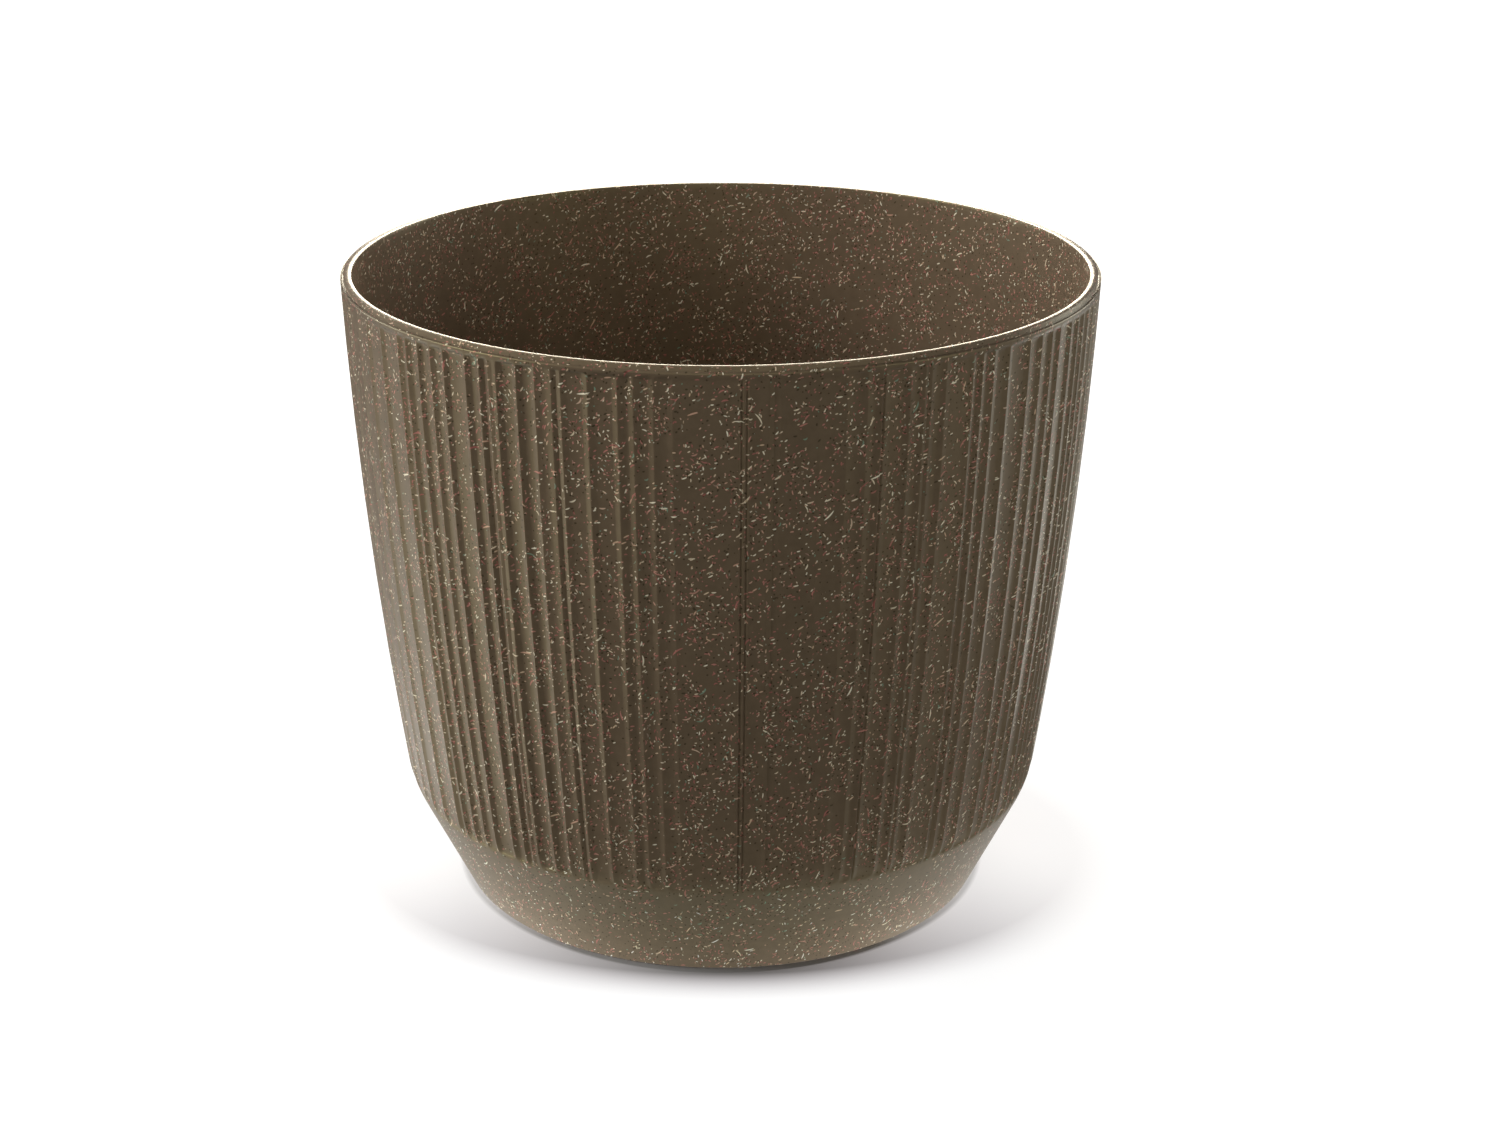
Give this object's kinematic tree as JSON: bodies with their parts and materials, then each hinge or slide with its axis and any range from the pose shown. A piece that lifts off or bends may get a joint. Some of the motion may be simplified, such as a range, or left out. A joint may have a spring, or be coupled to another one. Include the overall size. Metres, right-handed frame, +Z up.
{
  "type": "plant pot",
  "caption": "Round one-piece plastic plant pot with a bowed wall of uneven upright flutes, a smooth conical foot and a plain rim.",
  "frame": {"origin": "centre of the foot ring, on the ground", "axes": "+Z up along the pot's axis, -Y towards the viewer of the picture, +X to the viewer's right"},
  "size_m": [0.126, 0.126, 0.108],
  "materials": {
    "fibre_filled_plastic": "satin moulded olive brown with fine cream, rust and dark fibre flecks"
  },
  "bodies": {
    "root": {"pot_body": "fibre_filled_plastic"}
  },
  "joints": []
}
